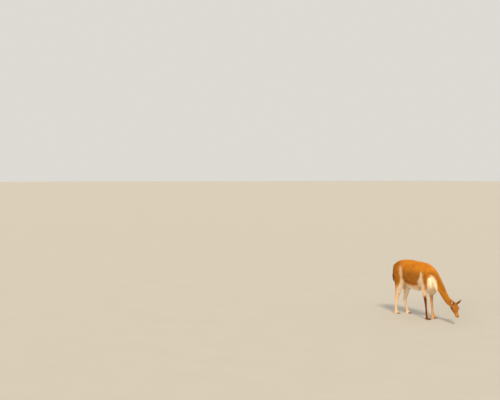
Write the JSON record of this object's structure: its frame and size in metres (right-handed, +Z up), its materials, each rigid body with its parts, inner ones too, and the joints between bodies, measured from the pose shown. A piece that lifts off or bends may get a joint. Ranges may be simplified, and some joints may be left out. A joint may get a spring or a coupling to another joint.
{
  "type": "vicuna",
  "caption": "Life-size standing vicuna that grazes with its head lowered and turned to its right, with a cinnamon coat and a long white bib on its chest.",
  "frame": {"origin": "on the ground, under the middle of the animal's bounding box", "axes": "+X forward along the trunk, +Y to the animal's left, +Z up from the ground"},
  "size_m": [1.2938, 0.2758, 0.8068],
  "materials": {
    "coat_fawn": "dense fine short wool, cinnamon",
    "coat_face": "very short close hair, reddish brown",
    "coat_ear": "very short hair, brown outside and pale inside",
    "coat_leg": "short hair, cinnamon outside and cream inside",
    "coat_foot": "short coarse hair, sandy",
    "coat_tail": "long wool, cinnamon over cream",
    "coat_white": "long silky hair, creamy white",
    "eye": "wet, almost black",
    "nail": "dull dark horn"
  },
  "bodies": {
    "root": {"torso": "coat_fawn", "neck": "coat_fawn", "chest_bib": "coat_white", "tail": "coat_tail", "head": "coat_face", "ear_left": "coat_ear", "ear_right": "coat_ear", "eye_left": "eye", "eye_right": "eye", "front_leg_left_upper": "coat_leg", "front_leg_left_lower": "coat_leg", "front_leg_left_foot": "coat_foot", "front_leg_left_nail_left": "nail", "front_leg_left_nail_right": "nail", "hind_leg_left_upper": "coat_leg", "hind_leg_left_lower": "coat_leg", "hind_leg_left_foot": "coat_foot", "hind_leg_left_nail_left": "nail", "hind_leg_left_nail_right": "nail", "front_leg_right_upper": "coat_leg", "front_leg_right_lower": "coat_leg", "front_leg_right_foot": "coat_foot", "front_leg_right_nail_left": "nail", "front_leg_right_nail_right": "nail", "hind_leg_right_upper": "coat_leg", "hind_leg_right_lower": "coat_leg", "hind_leg_right_foot": "coat_foot", "hind_leg_right_nail_left": "nail", "hind_leg_right_nail_right": "nail"}
  },
  "joints": []
}
